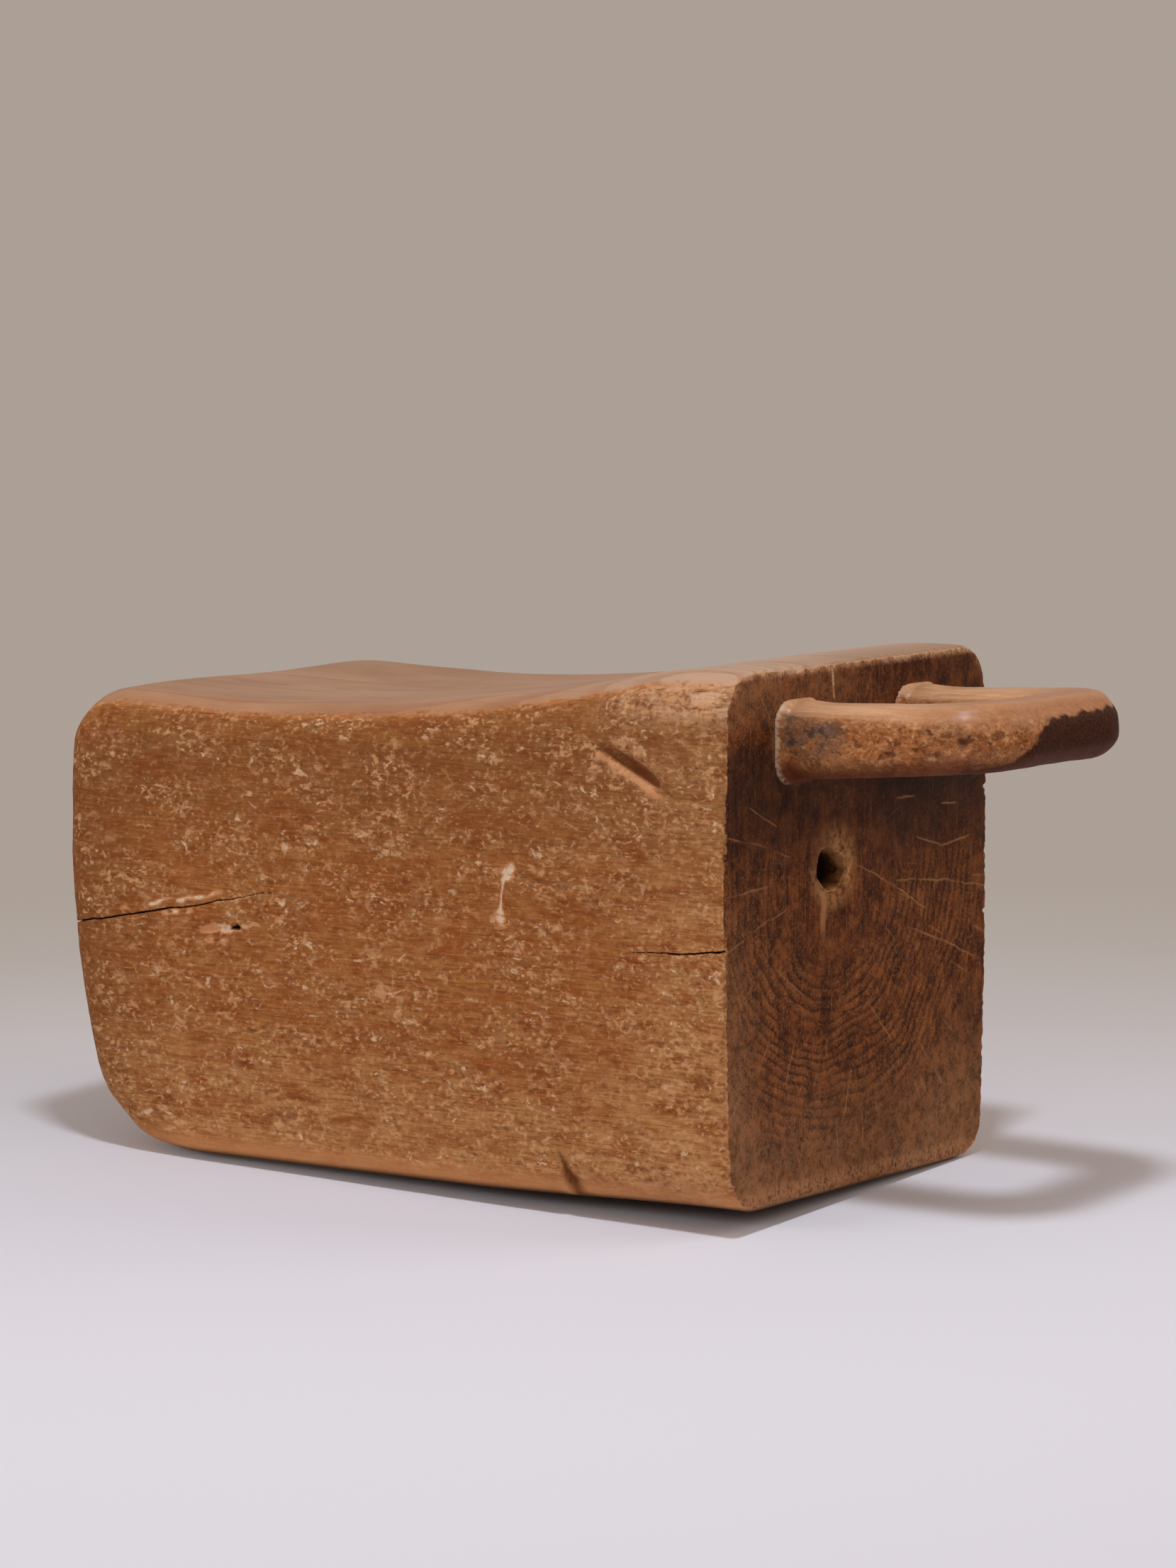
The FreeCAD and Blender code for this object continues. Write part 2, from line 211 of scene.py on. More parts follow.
def divide(mesh, wanted):
    """Halves the cells of the mesh whose corners wanted(points) picks."""
    cells = bmesh.new()
    cells.from_mesh(mesh)
    picked = wanted(points_of(mesh))
    edges = [edge for edge in cells.edges if all(picked[vertex.index] for vertex in edge.verts)]
    bmesh.ops.subdivide_edges(cells, edges=edges, cuts=1, use_grid_fill=True)
    cells.to_mesh(mesh)
    cells.free()


def soften(mesh, rounds, weight):
    """Moves the points towards their smoothed places, by the share that weight(points) gives each."""
    points = points_of(mesh)
    set_points(mesh, points + (smoothed(mesh, points, rounds) - points) * weight(points)[:, None])


def finish_piece(piece, node, material):
    """Dresses a piece, lets it ride on the part's one body and stand for its frame node."""
    piece.data.materials.append(material)
    piece.data.shade_smooth()
    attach(piece, "root")
    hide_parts(node)


# The block
BLOCK_CELL = 3.3
CORNER_ROUND = 27.0
FLOOR_ROUND = 10.0
# How far the bowed sides have come in near the floor
FOOT_TAPER = 3.8
HEEL_CURL = 6.0
BACK_HUMP = 3.4
BACK_CORNER_WEAR = 1.8
# Rounds of smoothing that wear the back's far top and its lower corner round
FAR_TOP_ROUNDS = 120
HEEL_ROUNDS = 16
# How far from the long side's marks, the narrow cracks and the rim the cells are halved, each time
HALVINGS = ((7, 6, 9), (4, 3.2, 4))
# Once more, this close to the narrow cracks
LAST_HALVING = 1.8


def along_and_up(points):
    return points[:, [0, 2]]


def across_and_up(points):
    return points[:, [1, 2]]


def on_near_side(points):
    return points[:, 1] < -0.85 * HALF_WIDTH


def on_front(points):
    return points[:, 0] > FRONT - 4


def on_back(points):
    return points[:, 0] < BACK + 14


def from_heart(points):
    """Distance from the log's heart and the angle about it, 0 to the right of the handle end."""
    across, up = (across_and_up(points) - np.array(PITH)).T
    return np.hypot(across, up), np.arctan2(up, across)


def near_paths(flat, paths, reach):
    """True within reach of any of the broken lines."""
    return np.any([np.abs(beside(flat, path)[1]) < reach for path in paths], axis=0)


def near_side_marks(points, reach):
    """True close to the cracks, scar, chip, gouge and scrape of the long side."""
    flat = along_and_up(points)
    paths = (BACK_CRACK, FRONT_CRACK, *SPLINTERS, AXE_SCAR, FLOOR_CHIP, PALE_SCRAPE)
    close = near_paths(flat, paths, reach)
    close |= np.hypot(*(flat - np.array(GOUGE)).T) < 12 + reach
    return close & on_near_side(points)


def fine_marks(points, reach):
    """True close to the narrow cracks and checks."""
    side = near_paths(along_and_up(points), (BACK_CRACK, FRONT_CRACK), reach) & on_near_side(points)
    end = near_paths(across_and_up(points), (*END_CHECKS, CREST_CRACK, HEART_STREAK), reach)
    back = near_paths(across_and_up(points), BACK_CHECKS, reach) & on_back(points)
    return side | back | end & on_front(points)


def front_rim(points, reach):
    """True in the band on both sides of the handle end's outline."""
    inside = np.minimum(HALF_WIDTH - np.abs(points[:, 1]), CREST - points[:, 2])
    return (points[:, 0] > FRONT - reach) & (inside < reach + 4)


def pith_mouth(points):
    return (from_heart(points)[0] < 24) & (points[:, 0] > FRONT - 14)


def worn_far_top(points):
    """How far each point lies in the back's top on the far side, which is worn round."""
    along, across, up = points.T
    return ease(-95, -150, along) * ease(190, 225, up) * ease(-40, 60, across)


def worn_heel(points):
    """How far each point lies in the back's lower corner, which is worn round."""
    return ease(-120, -160, points[:, 0]) * ease(95, 45, points[:, 2])


def round_floor_corners(points):
    """Wears the handle end's two lower corners to a rounder section, less and less towards the middle."""
    radius = FLOOR_ROUND + (CORNER_ROUND - FLOOR_ROUND) * ease(40, FRONT - 10, points[:, 0])
    for side in (-1, 1):
        centre_across = HALF_WIDTH - FOOT_TAPER - radius
        across = side * points[:, 1] - centre_across
        up = points[:, 2] - radius
        reach = np.hypot(across, up)
        corner = (across > 0) & (up < 0) & (reach > radius)
        shrink = np.where(corner, radius / np.maximum(reach, TINY), 1)
        points[:, 1] = np.where(corner, side * (centre_across + across * shrink), points[:, 1])
        points[:, 2] = np.where(corner, radius + up * shrink, points[:, 2])
    return points


def warp_block(points, normals):
    """The hand-cut unevenness that a whole end or corner shares."""
    top = ease(0.3, 0.8, normals[:, 2])
    along, across, up = points.T
    hump = BACK_HUMP * np.exp(-((along + 152) / 46) ** 2) * ease(-10, 110, across)
    worn_corner = BACK_CORNER_WEAR * ease(-150, -205, along) * ease(-60, -115, across)
    points[:, 2] += top * (hump - worn_corner)
    # The heel curls up off the floor
    points[:, 2] += HEEL_CURL * np.clip((-120 - along) / 50, 0, 1.1) ** 2 * ease(60, 0, up)
    # The pith hollow's mouth is wider to the right and the left, and narrower above right
    reach, angle = from_heart(points)
    opening = -0.3 * np.exp(-((angle - 0.95) / 0.6) ** 2) + 0.16 * np.exp(-((angle + 0.3) / 0.45) ** 2)
    opening += 0.1 * np.exp(-((np.abs(angle) - math.pi) / 0.5) ** 2)
    scale = 1 + (opening + 0.1) * ease(24, 11, reach) * (along > FRONT - 64)
    points[:, 1:] = np.array(PITH) + (points[:, 1:] - np.array(PITH)) * scale[:, None]
    return points


def in_the_joints(points):
    """True on the walls of the mortises and inside the pith hollow."""
    inside = (points[:, 0] < FRONT - 1.5) & (points[:, 0] > FRONT - 62)
    return inside & (np.abs(points[:, 1]) < 90) & (points[:, 2] > 140) & (points[:, 2] < CREST - 18)


def hewn_depth(points, normals):
    """How far the hewn and worn faces lie below the plain solid, in millimetres."""
    seat = ease(0.5, 0.85, normals[:, 2])
    sawn = ease(0.6, 0.9, normals[:, 0])
    wide = lumps(points, (120, 70, 60), 1)
    tool = lumps(points, (46, 22, 17), 2)
    fine = lumps(points, (16, 7, 6), 3)
    sides = 0.7 + 0.7 * wide + 0.42 * tool + 0.2 * fine
    polished = 0.4 + 0.5 * wide + 0.1 * tool
    cut = 0.4 + 0.3 * lumps(points, (60, 80, 80), 4) + 0.14 * lumps(points, (20, 5, 18), 5)
    depth = sides * (1 - seat) + polished * seat
    return depth * (1 - sawn) + cut * sawn


def no_marks(points):
    """Depth, paleness and darkness, all still 0."""
    return np.zeros((3, len(points)))


def crack_marks(points, flat, wobble):
    """The drying cracks: deep, darkened with painted shade and closing towards the middle of the side."""
    depth, pale, dark = no_marks(points)
    for path, half_opening, deepest in SIDE_CRACKS:
        share, side = beside(flat, path)
        closing = np.clip(1 - share, 0, 1) ** 0.6
        gap = half_opening * closing * (1 + 0.3 * lumps(points, (9, 60, 60), 8)) + TINY
        groove = np.clip(1 - np.abs(side + wobble) / gap, 0, 1) ** 0.7
        depth += deepest * closing * groove
        dark = np.maximum(dark, ease(0.05, 0.3, groove))
    return depth, pale, dark


def splinter_marks(points, flat, wobble):
    """Pale slivers that stand up a little beside the back crack."""
    depth, pale, dark = no_marks(points)
    for path in SPLINTERS:
        share, side = beside(flat, path)
        body = np.clip(4 * share * (1 - share), 0, 1) ** 0.5
        whole = ease(-0.3, 0.35, lumps(points, (6, 60, 3), 14))
        sliver = ease(2.0, 0.4, np.abs(side + wobble)) * body * whole
        depth -= SPLINTER_RISE * sliver
        pale = np.maximum(pale, 0.8 * sliver)
    return depth, pale, dark


def scar_marks(flat, wobble):
    """The axe scar: a hollow that runs out in a thin tail, with a raised pale ridge below it whose paleness
    is a painted highlight; painted shade darkens the hollow's upper wall.
    """
    share, side = beside(flat, AXE_SCAR)
    stroke = np.clip(share / SCAR_STROKE_SHARE, 0, 1)
    tail = 0.2 * ease(0.5, 0.65, share) * ease(1, 0.8, share)
    swell = np.maximum(2.3 * stroke ** 0.8 * (1 - stroke) ** 0.5, tail) + TINY
    half_width = np.where(side > 0, 5.4, 4.6) * swell
    hollow = np.clip(1 - np.abs(side + 0.25 * wobble) / half_width, 0, 1)
    raised = np.exp(-((side + 5.8) / 1.6) ** 2)
    depth = swell * (SCAR_DEPTH * hollow ** 0.8 - SCAR_RISE * raised)
    ridge = ease(-6, -4.8, side) * ease(-2.2, -3.2, side) * ease(0, 0.08, share) * ease(0.85, 0.7, share)
    shaded = np.minimum(swell, 1) * ease(-2.4, -0.6, side) * ease(5.4, 3.2, side)
    return depth, 0.32 * ridge, 0.45 * shaded


def chip_marks(flat, wobble):
    """The chip out of the floor edge: steep on the left, where its rim is pale with a painted highlight, and
    shallow on the right, with painted shade in the hollow.
    """
    share, side = beside(flat, FLOOR_CHIP)
    half_width = np.where(side > 0, 13.0, 2.6) * share ** 0.8 + TINY
    chip = np.clip(1 - np.abs(side + 0.4 * wobble) / half_width, 0, 1)
    rim = ease(-9, -4, side) * ease(-1.4, -2.6, side) * ease(0.5, 0.85, share)
    shaded = ease(0.3, 0.95, chip) * ease(0.05, 0.4, share)
    return CHIP_DEPTH * share * chip, 0.3 * rim, 0.42 * shaded


def scrape_marks(flat, wobble, torn_edge):
    """The pale scrape: a thin line between two torn blobs."""
    share, side = beside(flat, PALE_SCRAPE)
    blob = np.maximum(ease(0.42, 0.05, share), 0.7 * ease(0.74, 0.95, share))
    scrape = ease(0.9 + 4.2 * blob, 0.2, np.abs(side + 1.2 * wobble) + 2.6 * torn_edge * blob)
    return SCRAPE_DEPTH * scrape, 0.75 * scrape, 0 * scrape


def gouge_marks(flat, wobble, torn_edge):
    """The gouge below the back crack: a shallow torn bowl with a dark pit at its right end, whose darkness is
    painted shade.
    """
    along, up = (flat - np.array(GOUGE)).T
    bowl = 1 - (along / 15) ** 2 - ((up + 0.4 * wobble - 0.06 * along) / 2.8) ** 2 + 0.9 * torn_edge
    bowl = np.clip(bowl, 0, 1) ** 0.5
    pale = (0.35 + 0.3 * ease(-8, 6, along)) * ease(0.1, 0.8, bowl)
    along, up = (flat - np.array(GOUGE_PIT)).T
    pit = np.clip(1 - (along / 3.4) ** 2 - ((up - 0.12 * along) / 1.2) ** 2, 0, 1) ** 0.5
    return GOUGE_DEPTH * bowl + PIT_DEPTH * pit, pale, ease(0.1, 0.4, pit)


def side_marks(points, normals):
    """Depth, paleness and darkness that the marks of the long side give each point; the darkness is painted
    shade in their hollows, and some paleness is painted highlight on the scar's ridge and the chip's rim.
    """
    flat = along_and_up(points)
    wobble = 0.9 * lumps(points, (14, 60, 60), 6) + 0.35 * lumps(points, (4, 60, 60), 7)
    torn_edge = lumps(points, (3.2, 60, 2.4), 21) + 0.6 * lumps(points, (1.6, 60, 1.3), 22)
    depths, pales, darks = zip(
        crack_marks(points, flat, wobble),
        splinter_marks(points, flat, wobble),
        scar_marks(flat, wobble),
        chip_marks(flat, wobble),
        scrape_marks(flat, wobble, torn_edge),
        gouge_marks(flat, wobble, torn_edge),
    )
    facing = ease(0.15, 0.5, -normals[:, 1]) * on_near_side(points)
    return sum(depths) * facing, np.max(pales, axis=0) * facing, np.max(darks, axis=0) * facing


def end_marks(points, normals):
    """Depth and paleness that the checks, streak, crack and pith mouth give the handle end."""
    flat = across_and_up(points)
    depth, pale = np.zeros((2, len(points)))
    wobble = 0.8 * lumps(points, (60, 9, 9), 15) + 0.3 * lumps(points, (60, 3, 3), 16)
    for path in END_CHECKS:
        share, side = beside(flat, path)
        gap = 0.35 + 0.4 * np.clip(4 * share * (1 - share), 0, 1) ** 0.5
        line = ease(gap, 0.25 * gap, np.abs(side + wobble))
        depth += CHECK_DEPTH * line
        pale = np.maximum(pale, 0.46 * line * ease(-0.9, 0.2, lumps(points, (60, 13, 13), 23)))
    share, side = beside(flat, HEART_STREAK)
    pale = np.maximum(pale, 0.7 * ease(3.2, 1.2, np.abs(side + 1.5 * wobble)) * ease(1.0, 0.3, share))
    share, side = beside(flat, CREST_CRACK)
    line = np.clip(1 - np.abs(side + 0.4 * wobble) / 1.2, 0, 1)
    depth += CREST_CRACK_DEPTH * (1 - 0.8 * share) * line
    pale = np.maximum(pale, 0.9 * ease(0.1, 0.6, line))
    reach, angle = from_heart(points)
    chamfer = ease(19, 11, reach + 3 * lumps(points, (60, 8, 8), 17)) * (0.55 + 0.45 * np.cos(angle + 0.7))
    depth += PITH_CHAMFER * chamfer
    sawn = ease(0.3, 0.7, normals[:, 0]) * on_front(points)
    return depth * sawn, pale * sawn


def rim_damage(points):
    """Depth of the handle end's broken rim, with the nicks in its far edge and its crest."""
    along, across, up = points.T
    inside = np.minimum(HALF_WIDTH - 3 - np.abs(across), CREST - 1 - up)
    rim = ease(6, 0, inside) * ease(FRONT - 8, FRONT - 1, along)
    broken = lumps(points, (7, 5, 5), 9) + 0.7 * lumps(points, (3, 2.2, 2.2), 10)
    depth = rim * np.clip(0.2 + 0.6 * broken, 0, 1.3)
    for height, size in FAR_NICKS:
        notch = np.clip(1 - np.abs(up - height - 0.1 * (along - FRONT)) / 1.6, 0, 1)
        depth += size * notch * ease(9, 0, FRONT - along) * ease(0.955, 0.985, across / HALF_WIDTH)
    aside, above = (across_and_up(points) - np.array(CREST_NICK)).T
    nick = np.clip(1 - (aside / 4) ** 2 - (above / 6) ** 2, 0, 1)
    return depth + np.where(along > FRONT - 12, CREST_NICK_DEPTH * nick, 0)


def back_marks(points, normals):
    """Depth and darkness that the drying cracks give the back end; the darkness is painted shade."""
    flat = across_and_up(points)
    depth, dark = np.zeros((2, len(points)))
    wobble = 0.9 * lumps(points, (60, 12, 12), 24) + 0.4 * lumps(points, (60, 4, 4), 25)
    for path in BACK_CHECKS:
        share, side = beside(flat, path)
        closing = np.clip(1 - share, 0, 1) ** 0.6
        groove = np.clip(1 - np.abs(side + wobble) / (0.8 * closing + TINY), 0, 1) ** 0.7
        depth += BACK_CHECK_DEPTH * closing * groove
        dark = np.maximum(dark, ease(0.05, 0.3, groove))
    facing = ease(0.4, 0.8, -normals[:, 0]) * on_back(points)
    return depth * facing, dark * facing


def block_masks(mesh):
    """Where the block is end grain, polished seat or worn edge, for its material."""
    points, normals = points_of(mesh), read_vertices(mesh, "normal")
    bulge = np.sum((points - smoothed(mesh, points, 26)) * normals, axis=1)
    calm = smoothed(mesh, normals, 3)
    inner = in_the_joints(points)
    set_mask(mesh, "end_grain", np.where(inner, 1, ease(0.6, 0.95, calm[:, 0])))
    set_mask(mesh, "back_grain", ease(0.45, 0.95, -calm[:, 0]))
    set_mask(mesh, "seat", ease(0.55, 0.9, calm[:, 2]))
    set_mask(mesh, "worn_edge", np.where(inner, 0, ease(0.12, 0.9, bulge)))


def make_block():
    piece = even_copy("seat_block", "wooden_block", BLOCK_CELL)
    mesh = piece.data
    soften(mesh, FAR_TOP_ROUNDS, worn_far_top)
    soften(mesh, HEEL_ROUNDS, worn_heel)
    for side_reach, fine_reach, rim_reach in HALVINGS:
        divide(mesh, lambda points: near_side_marks(points, side_reach) | fine_marks(points, fine_reach)
               | front_rim(points, rim_reach) | pith_mouth(points))
    divide(mesh, lambda points: fine_marks(points, LAST_HALVING))
    points, normals = points_of(mesh), read_vertices(mesh, "normal")
    inner = in_the_joints(points)
    set_points(mesh, warp_block(round_floor_corners(points), normals))
    points, normals = points_of(mesh), read_vertices(mesh, "normal")
    side_depth, side_pale, side_dark = side_marks(points, normals)
    end_depth, end_pale = end_marks(points, normals)
    back_depth, back_dark = back_marks(points, normals)
    depth = hewn_depth(points, normals) + side_depth + end_depth + rim_damage(points) + back_depth
    depth = np.where(inner, 0, depth)
    # The underside stays flat: faces that look straight down aren't hewn
    resting = ease(-0.6, -0.95, normals[:, 2])
    points -= normals * (depth * (1 - resting))[:, None]
    points[:, 2] = np.maximum(points[:, 2], 0)
    set_points(mesh, points)
    block_masks(mesh)
    set_mask(mesh, "pale_mark", np.maximum(side_pale, end_pale))
    # Painted shade in the cracks, the scar, the chip, the pit and the back's checks
    set_mask(mesh, "hollow_shade", np.maximum(side_dark, back_dark))
    return piece


# The handle
HANDLE_CELL = 1.3
BOW_RADIUS = 42.0
BOW_ROUND = 14.0
ROOT_FLARE = 3.0
ARM_OUTER = (HANDLE_HIGH[1] - HANDLE_LOW[1]) / 2 - ROOT_FLARE
# The height of the arms' middle line, and half the height of their section
ARM_MIDDLE = 229.5
ARM_HALF_HEIGHT = 18.5
# How much higher the bow's middle lies than the arms', and how much less half its height is
BOW_LIFT = 4.0
BOW_SLIMMING = 2.0
# How far the bow's tip is rubbed from a rounded square (0) to an ellipse (1)
BOW_RUB = 0.6
# The upper edge of the stain on the bow, and how far it drops towards the near arm
STAIN_EDGE = 244.6
STAIN_DROP = 22.0
# Swellings on top of the arms' roots, as (across, half width, height)
ROOT_LUMPS = ((-60, 9.5, 2.2), (50, 8.5, 2.0))
# Pits in the near arm's outer face, as (along, up, size, depth)
HANDLE_PITS = ((278, 227.5, 4.0, 1.2), (272, 226, 2.6, 0.8), (299, 239.4, 2.4, 0.7), (309, 238.5, 3.0, 0.8),
               (317, 236, 4.0, 0.9), (292, 231, 2.6, 0.6), (304, 229, 2.6, 0.6))


def pitted(points, normals):
    """Depth and darkness that the pits give the near arm's outer face; the darkness is painted shade."""
    deep, dark = np.zeros((2, len(points)))
    ragged = 0.8 * lumps(points, (3, 3, 2), 18)
    for along, up, size, depth in HANDLE_PITS:
        reach = np.hypot(points[:, 0] - along, 1.3 * (points[:, 2] - up)) / size + ragged
        pit = np.clip(1 - reach ** 2, 0, 1) * (normals[:, 1] < -0.3)
        deep = np.maximum(deep, depth * pit)
        dark = np.maximum(dark, 0.75 * ease(0.1, 0.8, pit))
    return deep, dark


def round_bow(points):
    """Rubs the outer half of the loop's section from a rounded square towards an ellipse, most at the tip."""
    across = points[:, 1] - HANDLE_MIDDLE
    aside = np.maximum(np.abs(across) - (ARM_OUTER - BOW_RADIUS), 0) * np.sign(across)
    ahead = np.maximum(points[:, 0] - (TIP - BOW_RADIUS), 0)
    outward = np.hypot(aside, ahead) + TINY
    bow = ease(FRONT + 20, TIP - 25, points[:, 0])
    middle = ARM_MIDDLE + BOW_LIFT * bow
    half_height = ARM_HALF_HEIGHT - BOW_SLIMMING * bow
    rubbed = BOW_RUB * bow
    out = np.clip((outward - BOW_RADIUS) / BOW_ROUND + 1, 0, 1)
    tilt = np.clip((points[:, 2] - middle) / half_height, -1, 1)
    inward = BOW_ROUND * out * (1 - np.sqrt(1 - tilt ** 2 / 2)) * rubbed
    points[:, 0] -= inward * ahead / outward
    points[:, 1] -= inward * aside / outward
    points[:, 2] -= half_height * tilt * (1 - np.sqrt(1 - out ** 2 / 2)) * rubbed
    return points


def handle_depth(points):
    """How far the hand-worn loop lies below the plain solid, in millimetres."""
    depth = 0.15 + 0.5 * lumps(points, (46, 34, 30), 11) + 0.25 * lumps(points, (15, 12, 11), 12)
    return depth + 0.09 * lumps(points, (4, 4, 4), 13)


def stain(points, normals):
    """Where the bow's outer face is dark, below a ragged line that drops towards the near arm."""
    along, across, up = points.T
    line = STAIN_EDGE + 0.03 * across - STAIN_DROP * ease(-18, -66, across)
    line += 2.4 * lumps(points, (9, 9, 9), 19) + 1.4 * lumps(points, (3.5, 3.5, 3.5), 20)
    outer = ease(-0.15, 0.25, normals[:, 0]) * ease(FRONT + 88, FRONT + 102, along)
    return ease(-0.6, 0.8, line - up) * outer


def handle_masks(mesh):
    """Where the handle is stained, turned up or down, or worn at an edge, for its material."""
    points, normals = points_of(mesh), read_vertices(mesh, "normal")
    calm = smoothed(mesh, normals, 3)
    bulge = np.sum((points - smoothed(mesh, points, 20)) * normals, axis=1)
    set_mask(mesh, "stain", stain(points, calm))
    set_mask(mesh, "top", ease(0.2, 0.8, calm[:, 2]))
    set_mask(mesh, "under", ease(0.3, 0.8, -calm[:, 2]))
    set_mask(mesh, "worn_edge", ease(0.05, 0.5, bulge))


def make_handle():
    piece = even_copy("carry_handle", "loop_handle", HANDLE_CELL)
    mesh = piece.data
    set_points(mesh, round_bow(points_of(mesh)))
    points, normals = points_of(mesh), read_vertices(mesh, "normal")
    seated = ease(FRONT - 1, FRONT + 4, points[:, 0])
    deep, dark = pitted(points, normals)
    points -= normals * ((handle_depth(points) + deep) * seated)[:, None]
    # Each arm swells a little on top where it meets the block
    for across, half_width, height in ROOT_LUMPS:
        swell = np.exp(-((points[:, 1] - across) / half_width) ** 2 - ((points[:, 0] - FRONT - 9) / 8) ** 2)
        points[:, 2] += height * swell * ease(0.2, 0.8, normals[:, 2]) * seated
    set_points(mesh, points)
    handle_masks(mesh)
    set_mask(mesh, "hollow_shade", dark)
    return piece


# Shader maths
class Wire:
    """A node's output in a material. Arithmetic on wires and numbers adds Math nodes."""

    def __init__(self, tree, socket):
        self.tree = tree
        self.socket = socket

    def node(self, kind, settings=None, values=None, output=0):
        """Adds a node: its settings first, then its sockets' values or wires. Gives one of its outputs."""
        made = self.tree.nodes.new(kind)
        for name, setting in (settings or {}).items():
            setattr(made, name, setting)
        for key, given in (values or {}).items():
            if isinstance(given, Wire):
                self.tree.links.new(given.socket, made.inputs[key])
            else:
                made.inputs[key].default_value = given
        return Wire(self.tree, made.outputs[output])

    def feed(self, shader, name):
        """Connects this wire to one of the shader's sockets."""
        self.tree.links.new(self.socket, shader.inputs[name])

    def math(self, operation, first, second=0.0):
        return self.node("ShaderNodeMath", {"operation": operation}, {0: first, 1: second})

    def __add__(self, other):
        return self.math("ADD", self, other)

    def __radd__(self, other):
        return self.math("ADD", other, self)

    def __sub__(self, other):
        return self.math("SUBTRACT", self, other)

    def __rsub__(self, other):
        return self.math("SUBTRACT", other, self)

    def __mul__(self, other):
        return self.math("MULTIPLY", self, other)

    def __rmul__(self, other):
        return self.math("MULTIPLY", other, self)

    def __truediv__(self, other):
        return self.math("DIVIDE", self, other)

    def __pow__(self, power):
        return self.math("POWER", self, power)

    def least(self, other):
        return self.math("MINIMUM", self, other)

    def most(self, other):
        return self.math("MAXIMUM", self, other)

    def ease(self, low, high):
        """Rises smoothly from 0 at low to 1 at high."""
        return self.node("ShaderNodeMapRange", {"interpolation_type": "SMOOTHSTEP"},
                         {"Value": self, "From Min": low, "From Max": high})

    def stretched(self, size):
        """The place measured in units of size millimetres along each axis."""
        return self.node("ShaderNodeVectorMath", {"operation": "MULTIPLY"},
                         {0: self, 1: tuple(1 / (each * MM) for each in size)})

    def moved(self, shift):
        return self.node("ShaderNodeVectorMath", {"operation": "ADD"}, {0: self, 1: shift})

    def axis(self, letter):
        """The place along one axis, in millimetres."""
        return self.node("ShaderNodeSeparateXYZ", None, {0: self}, letter) / MM

    def grain(self, size, detail=2.0, rough=0.5, twist=0.0, shift=0.0):
        """Noise between 0 and 1 whose grains are about size millimetres along each axis."""
        place = self.stretched(size).moved((shift, shift, shift))
        values = {"Vector": place, "Scale": 1.0, "Detail": detail, "Roughness": rough, "Distortion": twist}
        return self.node("ShaderNodeTexNoise", {"noise_dimensions": "3D"}, values)

    def mask(self, name):
        """One of the piece's own vertex masks."""
        return self.node("ShaderNodeAttribute", {"attribute_name": name}, None, "Fac")

    def blend(self, first, second):
        """The first colour where this wire is 0 and the second where it is 1."""
        return self.node("ShaderNodeMix", {"data_type": "RGBA"}, {0: self, 6: first, 7: second}, 2)


def paint(red, green, blue):
    """A colour as a screen shows it, 0 to 255, in the linear values that a shader takes."""
    shares = [part / 255 for part in (red, green, blue)]
    return (*(part / 12.92 if part <= 0.04045 else ((part + 0.055) / 1.055) ** 2.4 for part in shares), 1.0)


def tinted(colour, *tints):
    """The colour with tints laid over it in order, each a share and a screen colour."""
    for share, screen_colour in tints:
        colour = share.blend(colour, paint(*screen_colour))
    return colour


def new_material(name):
    """An empty material, the place on the piece as a wire, and its surface shader."""
    material = bpy.data.materials.new(name)
    material.use_nodes = True
    tree = material.node_tree
    shader = next(node for node in tree.nodes if node.type == "BSDF_PRINCIPLED")
    place = Wire(tree, tree.nodes.new("ShaderNodeTexCoord").outputs["Object"])
    return material, place, shader


def wire_up(shader, colour, roughness, coat, height, bump_mm):
    """Connects what changes over the wood's surface to its shader."""
    colour.feed(shader, "Base Color")
    roughness.feed(shader, "Roughness")
    coat.feed(shader, "Coat Weight")
    bump = height.node("ShaderNodeBump", None, {"Height": height, "Distance": bump_mm * MM, "Strength": 1.0})
    bump.feed(shader, "Normal")


# The block's wood
RING_SPACING = 5.4
RING_WANDER = 26.0
RING_RIPPLE = 1.6


def growth_rings(place):
    """Rings about the log's heart, 0 in early wood and 1 in late wood, with the reach and angle about it."""
    across, up = place.axis("Y") - PITH[0], place.axis("Z") - PITH[1]
    reach = (across * across + up * up) ** 0.5
    wander = (place.grain((260, 60, 60), 2.0) - 0.5) * RING_WANDER
    ripple = (place.grain((90, 20, 20), 2.0) - 0.5) * RING_RIPPLE
    wave = place.math("FRACT", (reach + (wander + ripple)) / RING_SPACING)
    return wave.ease(0.3, 0.92) * wave.ease(1.0, 0.95), reach, place.math("ARCTAN2", up, across)


def block_grains(place):
    """What the block's faces share, as wires: places in millimetres, masks, rings and grains."""
    rings, reach, angle = growth_rings(place)
    return SimpleNamespace(
        place=place,
        along=place.axis("X"),
        across=place.axis("Y"),
        up=place.axis("Z"),
        seat=place.mask("seat"),
        worn=place.mask("worn_edge"),
        rings=rings,
        reach=reach,
        angle=angle,
        fibre=place.grain((16, 1.1, 1.1), 3.0, 0.65),
        thread=place.grain((8, 0.6, 0.6), 2.0, 0.6, 0.0, 5.0),
        hue=place.grain((28, 13, 11), 3.0, 0.6, 0.6, 7.0),
        mottle=place.grain((9, 5.5, 5.5), 3.0, 0.6, 0.4, 2.0),
        speck=place.grain((3.0, 2.1, 2.1), 1.0, 0.5, 0.4),
        pore=place.grain((6, 1.3, 1.3), 3.0, 0.7),
        saw=place.grain((40, 1.0, 42), 3.0, 0.65, 0.0, 4.0),
        broken=place.grain((60, 17, 15), 3.0, 0.65, 0.0, 9.0).ease(0.36, 0.6),
        low=place.axis("Z").ease(95, 15),
        front=place.axis("X").ease(110, FRONT),
    )


